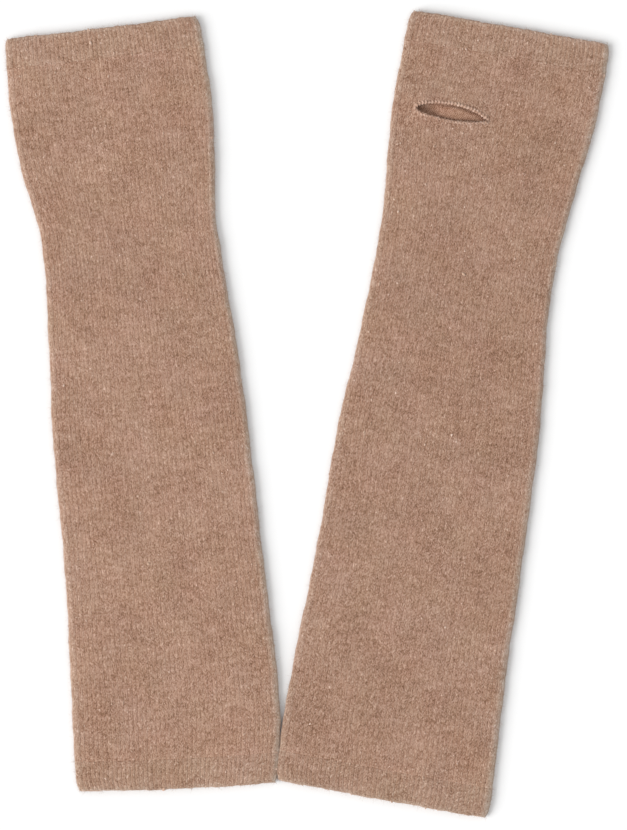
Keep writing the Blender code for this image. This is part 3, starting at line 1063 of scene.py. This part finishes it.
def hairs_piece(warmer):
    """Loose hairs of the wool: thin tapered strands of 3 sides that bend as they leave the cloth.

    A strand's middle line is root + t * heading + t^2 * bend, for t from 0 to 1 in 3 steps, and its
    last ring closes to a point.
    """
    fuzz = bpy.context.scene.arm_warmers.fuzz
    parts = ("jersey", "hand_band", "arm_band")
    names = [f"{warmer.name}_{part}_{layer}" for part in parts for layer in ("front", "back")]
    points, normals = surface_of(names)
    rng = np.random.default_rng(warmer.seed + 300)
    edge = rng.choice(np.flatnonzero(np.abs(normals[:, 2]) < 0.62), fuzz.edge_hairs)
    face = rng.choice(np.flatnonzero(normals[:, 2] > 0.75), fuzz.face_hairs)
    picked = np.concatenate([edge, face])
    count = len(picked)
    root = points[picked] - normals[picked] * 0.1 * MM
    length = fuzz.hair_length * np.minimum(rng.lognormal(-0.1, 0.4, count), 1.9)[:, None]
    heading = normals[picked] + rng.standard_normal((count, 3)) * (0.75, 0.75, 0.35)
    heading /= np.linalg.norm(heading, axis=1, keepdims=True)
    bend = np.clip(rng.standard_normal((count, 3)), -2, 2) * 0.4
    t = np.linspace(0, 1, 4)[None, :, None]
    line = root[:, None] + length[:, None] * (t * heading[:, None] + t**2 * bend[:, None])
    line[..., 2] = np.maximum(line[..., 2], 0.08 * MM)
    aside = np.cross(heading, rng.standard_normal((count, 3)))
    aside /= np.linalg.norm(aside, axis=1, keepdims=True)
    other = np.cross(heading, aside)
    spoke = np.linspace(0, 2 * math.pi, 3, endpoint=False)[None, :, None]
    ring = np.cos(spoke) * aside[:, None] + np.sin(spoke) * other[:, None]
    radius = fuzz.hair_thickness / 2 * np.array([1.0, 0.85, 0.6])[None, :, None, None]
    tube = (line[:, :3, None] + radius * ring[:, None]).reshape(count, 9, 3)
    ids = closed_round(np.arange(9).reshape(3, 3))
    tip = np.stack([ids[2, :-1], ids[2, 1:], np.full(3, 9)], axis=-1)
    faces = [lattice_quads(ids, True), np.concatenate([tip, [[2, 1, 0]]])]
    placed = np.concatenate([tube, line[:, 3:]], axis=1)
    scatter_piece(f"{warmer.name}_hairs", placed, faces, rng, wool_material("hair"))


# Shader nodes


class Reading:
    """A number read over the surface from one socket. Arithmetic on it adds Math nodes."""

    def __init__(self, tree, socket):
        self.tree = tree
        self.socket = socket

    def step(self, operation, *others):
        """One Math node on this reading and the others."""
        inputs = dict(enumerate((self, *others)))
        made = add_node(self.tree, "ShaderNodeMath", inputs, operation=operation)
        return Reading(self.tree, made.outputs[0])

    def __add__(self, other):
        return self.step("ADD", other)

    def __sub__(self, other):
        return self.step("SUBTRACT", other)

    def __mul__(self, other):
        return self.step("MULTIPLY", other)

    def __pow__(self, other):
        return self.step("POWER", other)


def add_node(tree, kind, inputs=(), **settings):
    """A shader node with its settings, and its inputs linked or set."""
    made = tree.nodes.new(kind)
    for name, value in settings.items():
        setattr(made, name, value)
    for name, value in dict(inputs).items():
        value = value.socket if isinstance(value, Reading) else value
        if isinstance(value, bpy.types.NodeSocket):
            tree.links.new(value, made.inputs[name])
        else:
            made.inputs[name].default_value = value
    return made


def scaled(tree, vector, factors):
    """A vector or colour with each of its parts scaled by its own factor."""
    inputs = {0: vector, 1: factors}
    return add_node(tree, "ShaderNodeVectorMath", inputs, operation="MULTIPLY").outputs[0]


def faded(tree, distance, reach, strength):
    """The strength at the line, fading smoothly to nothing at the reach."""
    inputs = {"Value": distance, "From Min": 0.2, "From Max": reach, "To Min": strength, "To Max": 0.0}
    made = add_node(tree, "ShaderNodeMapRange", inputs, interpolation_type="SMOOTHSTEP")
    return Reading(tree, made.outputs["Result"])


def mix_colours(tree, share, first, second):
    """Blends two colours. The Mix node's sockets 6 and 7, and its output 2, are the colour ones."""
    inputs = {0: share, 6: first, 7: second}
    return add_node(tree, "ShaderNodeMix", inputs, data_type="RGBA").outputs[2]


def centred_noise(tree, vector, noise):
    """Noise that runs from about -1 to 1."""
    inputs = {"Vector": vector, "W": noise.seed, "Scale": noise.scale}
    inputs.update({"Detail": noise.detail, "Roughness": noise.roughness})
    made = add_node(tree, "ShaderNodeTexNoise", inputs, noise_dimensions="4D")
    return (Reading(tree, made.outputs["Fac"]) - 0.5) * 4.0


def new_group(name, inputs, outputs):
    """A shader node group with named sockets."""
    group = bpy.data.node_groups.new(name, "ShaderNodeTree")
    for socket, kind, value in inputs:
        made = group.interface.new_socket(name=socket, in_out="INPUT", socket_type=kind)
        made.default_value = value
    for socket, kind in outputs:
        group.interface.new_socket(name=socket, in_out="OUTPUT", socket_type=kind)
    entry = group.nodes.new("NodeGroupInput")
    leave = group.nodes.new("NodeGroupOutput")
    return group, entry.outputs, leave.inputs


def heather_and_painted_light_group():
    """Heathered wool: the shade of the yarn from place to place.

    Broad clouds and short streaks along the courses come from noise, every stitch leg has a shade
    of its own, and fine flecks of pale and dark fibre run along the legs, the palest of them as
    bright pips. Furrow shade is painted shade: it darkens the furrow lines between wales and
    between courses. Purl brings up the purl side's staggered bumps, in the height and also as
    painted light and shade on the colour. A tone t scales the yarn by t^0.74, t, t^1.22 in red,
    green and blue, so pale fibres are greyer and dark ones warmer. The fold and end tint is a
    paler, greyer wash along the folds and the free edges. It is partly the wool's grey fuzz and
    partly painted bounce light, and it is three times as strong on the right-hand folds, which lie
    away from the key light.
    """
    name = "Heathered wool"
    if name in bpy.data.node_groups:
        return bpy.data.node_groups[name]
    sockets = [
        ("Stitch", "NodeSocketVector", (0.0, 0.0, 0.0)),
        ("Yarn", "NodeSocketColor", (0.4, 0.24, 0.17, 1.0)),
    ]
    sockets += [(socket, "NodeSocketFloat", value) for socket, value in HEATHER_NUMBERS.items()]
    results = [("Colour", "NodeSocketColor"), ("Height", "NodeSocketFloat")]
    group, given, result = new_group(name, sockets, results)
    asked = {socket: Reading(group, given[socket]) for socket in HEATHER_NUMBERS}
    place = add_node(group, "ShaderNodeTexCoord").outputs["Object"]
    split = add_node(group, "ShaderNodeSeparateXYZ", {"Vector": given["Stitch"]}).outputs
    wale = Reading(group, split["X"])
    course = Reading(group, split["Y"])
    noise = {}
    for kind, values in HEATHER_NOISES.items():
        vector = scaled(group, given["Stitch"], values.stretch) if values.stretch else place
        noise[kind] = centred_noise(group, vector, values)
    corner = {"X": (wale * 2.0).step("FLOOR"), "Y": course.step("FLOOR")}
    cell = add_node(group, "ShaderNodeCombineXYZ", corner).outputs[0]
    draw = add_node(group, "ShaderNodeTexWhiteNoise", {"Vector": cell}, noise_dimensions="3D")
    own = Reading(group, draw.outputs["Value"]) - 0.5

    furrow = (wale.step("PINGPONG", 0.5) * -6.5 + 1.0).step("MAXIMUM", 0.0)
    head = (course.step("PINGPONG", 0.5) * -5.0 + 1.0).step("MAXIMUM", 0.0)
    purl = (wale * (4 * math.pi)).step("COSINE") * (course * (2 * math.pi)).step("COSINE")
    purl = purl * asked["Purl"]
    pips = (noise["pips"] - 0.5).step("MAXIMUM", 0.0) * 0.72 - 0.03

    tone = asked["Clouds"] * (noise["clouds"] * 0.11 + noise["streaks"] * 0.13)
    tone = tone + asked["Flecks"] * (noise["flecks"] * 0.65 + noise["lumps"] * 0.15)
    # Painted shade: the furrow lines between wales and the lines between courses are made darker, as
    # if they were in shade.
    tone = tone - asked["Furrows"] * (furrow * 0.16 + head * 0.12)
    # Painted light and shade: the crowns of the purl bumps are made paler and the hollows between them
    # darker, following the relief.
    tone = tone + own * 0.34 + pips + noise["fibres"] * 0.10 + purl * 0.45

    # Painted light: a paler, greyer tint along the folds and the free ends, partly the wool's grey
    # fuzz and partly bounce light. It is three times as strong on the right-hand folds, which lie away
    # from the key light.
    to_fold = wale.step("MINIMUM", asked["Wales"] - wale)
    from_arm = asked["Courses"] + asked["Band courses"] - course
    to_end = (course + asked["Band courses"]).step("MINIMUM", from_arm)
    on_shaded_right = wale.step("GREATER_THAN", asked["Wales"] * 0.5)
    fold_nap_and_bounce = faded(group, to_fold, 2.6, 1.0) * (on_shaded_right * 0.9 + 0.45)
    nap = fold_nap_and_bounce.step("MAXIMUM", faded(group, to_end, 2.2, 0.4)) * asked["Nap"]
    nap = nap * (noise["lumps"] * 0.35 + 1.0)
    tone = (tone * (nap * -0.35 + 1.0) + 1.0).step("MAXIMUM", 0.25)

    red = tone**0.74 * (noise["redness"] * 0.034 + 1.0)
    blue = tone**1.22 * (noise["blueness"] * 0.040 + 1.0)
    shade = add_node(group, "ShaderNodeCombineXYZ", {"X": red, "Y": tone, "Z": blue}).outputs[0]
    toned = scaled(group, given["Yarn"], shade)
    final = mix_colours(group, nap, toned, scaled(group, toned, NAP_AND_BOUNCE_TINT))
    group.links.new(final, result["Colour"])
    height = noise["flecks"] * 0.6 + noise["fibres"] * 0.5 - (furrow + head * 0.8) + purl
    group.links.new(height.socket, result["Height"])
    return group


def wool_material(kind, warmer=None):
    """Matt wool in one of the finishes, with painted light: its yarn is made lighter or darker by the
    finish's light and the warmer's shade.

    The heather group gives its colour and its fine relief, and there is a soft sheen on it.
    """
    finish = FINISHES[kind]
    name = f"{finish.label}, {warmer.name}" if warmer else finish.label
    if name in bpy.data.materials:
        return bpy.data.materials[name]
    settings = bpy.context.scene.arm_warmers
    # Painted light and shade: the yarn is scaled by the finish's light and by the warmer's shade.
    light = finish.light * (warmer.shade if warmer else 1.0)
    yarn = [light * part for part in getattr(settings.colours, finish.colour)]
    material = bpy.data.materials.new(name)
    material.use_nodes = True
    tree = material.node_tree
    shader = tree.nodes["Principled BSDF"]
    inputs = {
        "Stitch": add_node(tree, "ShaderNodeUVMap", uv_map="stitches").outputs["UV"],
        "Yarn": (*yarn, 1.0),
        "Clouds": finish.clouds,
        "Flecks": finish.flecks,
        "Furrows": finish.furrows,
        "Purl": finish.purl,
        "Nap": finish.nap,
        "Wales": settings.knit.wales,
        "Courses": settings.knit.courses,
        "Band courses": settings.knit.band_courses,
    }
    wool = add_node(tree, "ShaderNodeGroup", inputs, node_tree=heather_and_painted_light_group())
    relief = {"Height": wool.outputs["Height"], "Strength": finish.bump, "Distance": 0.12 * MM}
    raised = add_node(tree, "ShaderNodeBump", relief)
    tree.links.new(wool.outputs["Colour"], shader.inputs["Base Color"])
    tree.links.new(raised.outputs["Normal"], shader.inputs["Normal"])
    shader.inputs["Roughness"].default_value = 0.92
    shader.inputs["Specular IOR Level"].default_value = 0.15
    shader.inputs["Sheen Weight"].default_value = finish.sheen
    shader.inputs["Sheen Roughness"].default_value = 0.55
    shader.inputs["Sheen Tint"].default_value = (1.0, 0.93, 0.86, 1.0)
    return material


# Stage


def floor_piece():
    """A broad pale floor under the pair."""
    line = np.linspace(-FLOOR_REACH, FLOOR_REACH, 13)
    x, y = np.meshgrid(line, line[::-1])
    points = np.stack([x, y, np.full_like(x, -0.1 * MM)], axis=-1).reshape(-1, 3)
    quads = lattice_quads(np.arange(x.size).reshape(x.shape), False)
    mesh = fill_mesh("floor", points, [(quads, 0, True)], points[:, :2])
    material = bpy.data.materials.new("Pale floor")
    material.use_nodes = True
    tree = material.node_tree
    shader = tree.nodes["Principled BSDF"]
    place = add_node(tree, "ShaderNodeTexCoord").outputs["Object"]
    rough = centred_noise(tree, place, FLOOR_GRAIN) * 0.02 + 0.9
    tree.links.new(rough.socket, shader.inputs["Roughness"])
    colour = bpy.context.scene.arm_warmers.studio.floor_colour
    shader.inputs["Base Color"].default_value = (*colour, 1.0)
    shader.inputs["Specular IOR Level"].default_value = 0.0
    mesh.materials.append(material)
    floor = bpy.data.objects.new("floor", mesh)
    bpy.context.scene.collection.objects.link(floor)


def soft_sun(name, bearing, height, width, strength):
    """A far, broad light: bearing and height of its middle and its width across, as angles."""
    lamp = bpy.data.lights.new(name, "SUN")
    lamp.angle = width
    lamp.energy = strength
    light = bpy.data.objects.new(name, lamp)
    light.location = (-1.0, -1.0, 1.0)
    light.rotation_euler = (math.pi / 2 - height, 0.0, bearing)
    bpy.context.scene.collection.objects.link(light)


def studio_camera():
    """A camera straight above the middle of the photograph's frame, with a long lens."""
    height = bpy.context.scene.arm_warmers.studio.camera_height
    camera = bpy.data.cameras.new("camera")
    camera.sensor_fit = "VERTICAL"
    camera.sensor_height = 24.0
    camera.lens = camera.sensor_height * (height - FRONT_FACE) / FRAME_HEIGHT
    camera.clip_end = 20.0
    placed = bpy.data.objects.new("camera", camera)
    placed.location = (*FRAME_MIDDLE, height)
    bpy.context.scene.collection.objects.link(placed)
    bpy.context.scene.camera = placed


# Operators


class WARMERS_OT_jersey(bpy.types.Operator):
    """Knits the jersey bodies, a front and a back layer for each warmer."""

    bl_idname = "warmers.jersey"
    bl_label = "Jersey bodies"

    def execute(self, context):
        for warmer in WARMERS:
            for layer in ("front", "back"):
                body_piece(warmer, layer)
        return {"FINISHED"}


class WARMERS_OT_bands(bpy.types.Operator):
    """Knits the rib bands at both ends of each warmer."""

    bl_idname = "warmers.bands"
    bl_label = "Rib bands"

    def execute(self, context):
        for warmer in WARMERS:
            for end in ("hand", "arm"):
                for layer in ("front", "back"):
                    band_piece(warmer, end, layer)
        return {"FINISHED"}


class WARMERS_OT_slots(bpy.types.Operator):
    """Casts off the chain round each thumb slot."""

    bl_idname = "warmers.slots"
    bl_label = "Thumb slot chains"

    def execute(self, context):
        for warmer in WARMERS:
            edging_piece(warmer)
        return {"FINISHED"}


class WARMERS_OT_fuzz(bpy.types.Operator):
    """Adds the neps and the loose hairs, once the knitted pieces are there."""

    bl_idname = "warmers.fuzz"
    bl_label = "Neps and hairs"

    def execute(self, context):
        for warmer in WARMERS:
            if f"{warmer.name}_jersey_front" not in bpy.data.objects:
                raise RuntimeError("The jersey bodies come first: the neps lie on them.")
            neps_piece(warmer)
            hairs_piece(warmer)
        return {"FINISHED"}


class WARMERS_OT_sheets(bpy.types.Operator):
    """Works out the flat area of each knitted layer's parts; nothing of it is kept or shown."""

    bl_idname = "warmers.sheets"
    bl_label = "Flat sizes"

    def execute(self, context):
        for warmer in WARMERS:
            state_sheets(warmer)
        return {"FINISHED"}


class WARMERS_OT_stage(bpy.types.Operator):
    """Sets the floor, the light and the camera."""

    bl_idname = "warmers.stage"
    bl_label = "Stage"

    def execute(self, context):
        scene = context.scene
        studio = scene.arm_warmers.studio
        floor_piece()
        soft_sun("key_light", KEY_BEARING, KEY_HEIGHT, KEY_WIDTH, studio.key_power)
        world = bpy.data.worlds.new("Even studio light")
        world.use_nodes = True
        sky = world.node_tree.nodes["Background"]
        sky.inputs["Color"].default_value = (1.0, 1.0, 1.0, 1.0)
        sky.inputs["Strength"].default_value = studio.sky_strength
        scene.world = world
        scene.view_settings.view_transform = "Standard"
        studio_camera()
        return {"FINISHED"}


class WARMERS_PT_panel(bpy.types.Panel):
    """Lists the settings and the steps in the sidebar."""

    bl_idname = "WARMERS_PT_panel"
    bl_label = "Arm Warmers"
    bl_space_type = "VIEW_3D"
    bl_region_type = "UI"
    bl_category = "Arm Warmers"

    def draw(self, context):
        settings = context.scene.arm_warmers
        for title, group in (
            ("Knit", settings.knit),
            ("Colours", settings.colours),
            ("Neps and hairs", settings.fuzz),
            ("Studio", settings.studio),
        ):
            box = self.layout.box()
            box.label(text=title)
            for name in group.__annotations__:
                box.prop(group, name)
        for step in STEPS:
            self.layout.operator(step.bl_idname)


STEPS = (
    WARMERS_OT_jersey,
    WARMERS_OT_bands,
    WARMERS_OT_slots,
    WARMERS_OT_fuzz,
    WARMERS_OT_sheets,
    WARMERS_OT_stage,
)

CLASSES = (
    KnitSizes,
    WoolColours,
    FuzzSizes,
    StudioSizes,
    ArmWarmers,
    *STEPS,
    WARMERS_PT_panel,
)


def layer_width(warmer, along):
    """Width of one layer from fold to fold, measured round its face."""
    left, right = fold_lines(warmer, along)
    return right - left - 2 * FOLD_REACH + 2 * FOLD_ARC


def state_sheets(warmer):
    """Works out the area of each layer's parts from their widths between the folds; nothing of it is
    kept or shown.
    """
    trims = {
        f"{warmer.name}_jersey_front": [f"{warmer.name}_neps", f"{warmer.name}_hairs"],
        f"{warmer.name}_jersey_back": [],
    }
    trims[f"{warmer.name}_jersey_{warmer.slot_layer}"].append(f"{warmer.name}_slot_chain")
    spans = {
        "jersey": (BAND_DEPTH, warmer.length - BAND_DEPTH),
        "hand_band": (0.0, BAND_DEPTH),
        "arm_band": (warmer.length - BAND_DEPTH, warmer.length),
    }
    for layer in ("front", "back"):
        for part, (start, end) in spans.items():
            along = np.linspace(start, end, 200)
            widths = layer_width(warmer, along)
            area = float(widths.mean() * (end - start))


def register():
    for kind in CLASSES:
        bpy.utils.register_class(kind)
    bpy.types.Scene.arm_warmers = bpy.props.PointerProperty(
        type=ArmWarmers, name="Arm warmers", description="Settings of the arm warmers"
    )


def unregister():
    del bpy.types.Scene.arm_warmers
    for kind in reversed(CLASSES):
        bpy.utils.unregister_class(kind)


def main():
    register()
    bpy.ops.warmers.jersey()
    bpy.ops.warmers.bands()
    bpy.ops.warmers.slots()
    bpy.ops.warmers.fuzz()
    bpy.ops.warmers.sheets()
    bpy.ops.warmers.stage()


if __name__ == "__main__":
    main()
